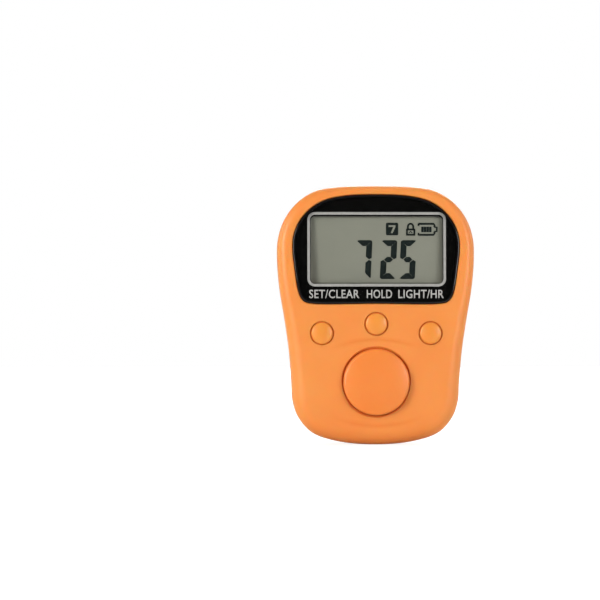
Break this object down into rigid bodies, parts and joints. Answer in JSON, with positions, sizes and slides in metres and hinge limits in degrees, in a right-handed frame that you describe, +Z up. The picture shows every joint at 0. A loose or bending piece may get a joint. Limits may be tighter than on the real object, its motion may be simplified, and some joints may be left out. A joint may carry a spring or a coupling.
{
  "type": "hand tally counter",
  "caption": "Rounded hand-held digital counter with a display window, push buttons and a soft ring strap with pegs and holes at its back.",
  "frame": {"origin": "centre of the bounding box's underside: below the middle of the case and strap, at the height of the case's bottom edge", "axes": "+Z up the case towards the top of the display, -Y out of the display and buttons, +X to the user's right"},
  "size_m": [0.032, 0.0338, 0.042],
  "materials": {
    "orange_shell": "satin moulded plastic with a very fine texture",
    "orange_button": "satin moulded plastic, a little smoother than the shells",
    "orange_rubber": "soft matt elastomer",
    "window": "clear glossy acrylic",
    "black_print": "gloss black print behind the window",
    "lcd_film": "grey-green polarising film",
    "lcd_glass": "thin display glass",
    "reflector": "silvered reflecting film",
    "white_plastic": "opaque white plastic",
    "led_lamp": "small white lamp with a yellow filling",
    "connector_rubber": "layered conductive rubber",
    "board": "green solder resist on glass fibre",
    "black_epoxy": "black epoxy or moulding compound",
    "steel": "plated steel",
    "port_metal": "thin nickel-plated steel sheet",
    "gilt": "gilt contact strip",
    "capacitor": "brown ceramic with plated ends",
    "battery_foil": "aluminised pouch foil",
    "foam": "black foam tape",
    "red_wire": "red insulation",
    "black_wire": "black insulation"
  },
  "bodies": {
    "case": {"front_shell": "orange_shell", "back_shell": "orange_shell", "display_window": "window", "window_mask": "black_print", "lcd_front_polariser": "lcd_film", "lcd_front_glass": "lcd_glass", "lcd_rear_glass": "lcd_glass", "lcd_rear_polariser": "reflector", "backlight_guide": "white_plastic", "backlight_led": "led_lamp", "lcd_frame": "white_plastic", "zebra_connector": "connector_rubber", "circuit_board": "board", "controller_blob": "black_epoxy", "crystal_can": "steel", "charge_chip": "black_epoxy", "supply_capacitor": "capacitor", "usb_shell": "port_metal", "usb_insulator": "black_epoxy", "battery_cell": "battery_foil", "battery_pad": "foam", "battery_lead_red": "red_wire", "battery_lead_black": "black_wire", "board_screw_left": "steel", "board_screw_right": "steel", "case_screw_left": "steel", "case_screw_right": "steel", "count_switch": "black_epoxy", "reset_switch": "black_epoxy", "lock_switch": "black_epoxy", "light_switch": "black_epoxy", "usb_contact_1": "gilt", "usb_contact_2": "gilt", "usb_contact_3": "gilt", "usb_contact_4": "gilt", "usb_contact_5": "gilt"},
    "count_button": {"count_button": "orange_button", "count_plunger": "white_plastic"},
    "reset_button": {"reset_button": "orange_button", "reset_plunger": "white_plastic"},
    "lock_button": {"lock_button": "orange_button", "lock_plunger": "white_plastic"},
    "light_button": {"light_button": "orange_button", "light_plunger": "white_plastic"},
    "hole_tail": {"strap_with_holes": "orange_rubber"},
    "peg_tail": {"strap_with_pegs": "orange_rubber"}
  },
  "joints": [
    {"name": "count_press", "type": "slide", "parent": "case", "child": "count_button", "axis": [0, 1, 0], "range_m": [0, 0.0005], "stiffness_N_per_m": 600},
    {"name": "reset_press", "type": "slide", "parent": "case", "child": "reset_button", "axis": [0, 1, 0], "range_m": [0, 0.00035], "stiffness_N_per_m": 500},
    {"name": "lock_press", "type": "slide", "parent": "case", "child": "lock_button", "axis": [0, 1, 0], "range_m": [0, 0.00035], "stiffness_N_per_m": 500},
    {"name": "light_press", "type": "slide", "parent": "case", "child": "light_button", "axis": [0, 1, 0], "range_m": [0, 0.00035], "stiffness_N_per_m": 500},
    {"name": "hole_tail_flex", "type": "hinge", "parent": "case", "child": "hole_tail", "pos_m": [0, -0.0001, 0.031], "axis": [1, 0, 0], "range_deg": [0, 70], "stiffness_Nm_per_rad": 0.006, "deforming": ["strap_with_holes"]},
    {"name": "peg_tail_flex", "type": "hinge", "parent": "case", "child": "peg_tail", "pos_m": [0, -0.0003, 0.00735], "axis": [1, 0, 0], "range_deg": [-60, 0], "stiffness_Nm_per_rad": 0.006, "deforming": ["strap_with_pegs"]}
  ]
}
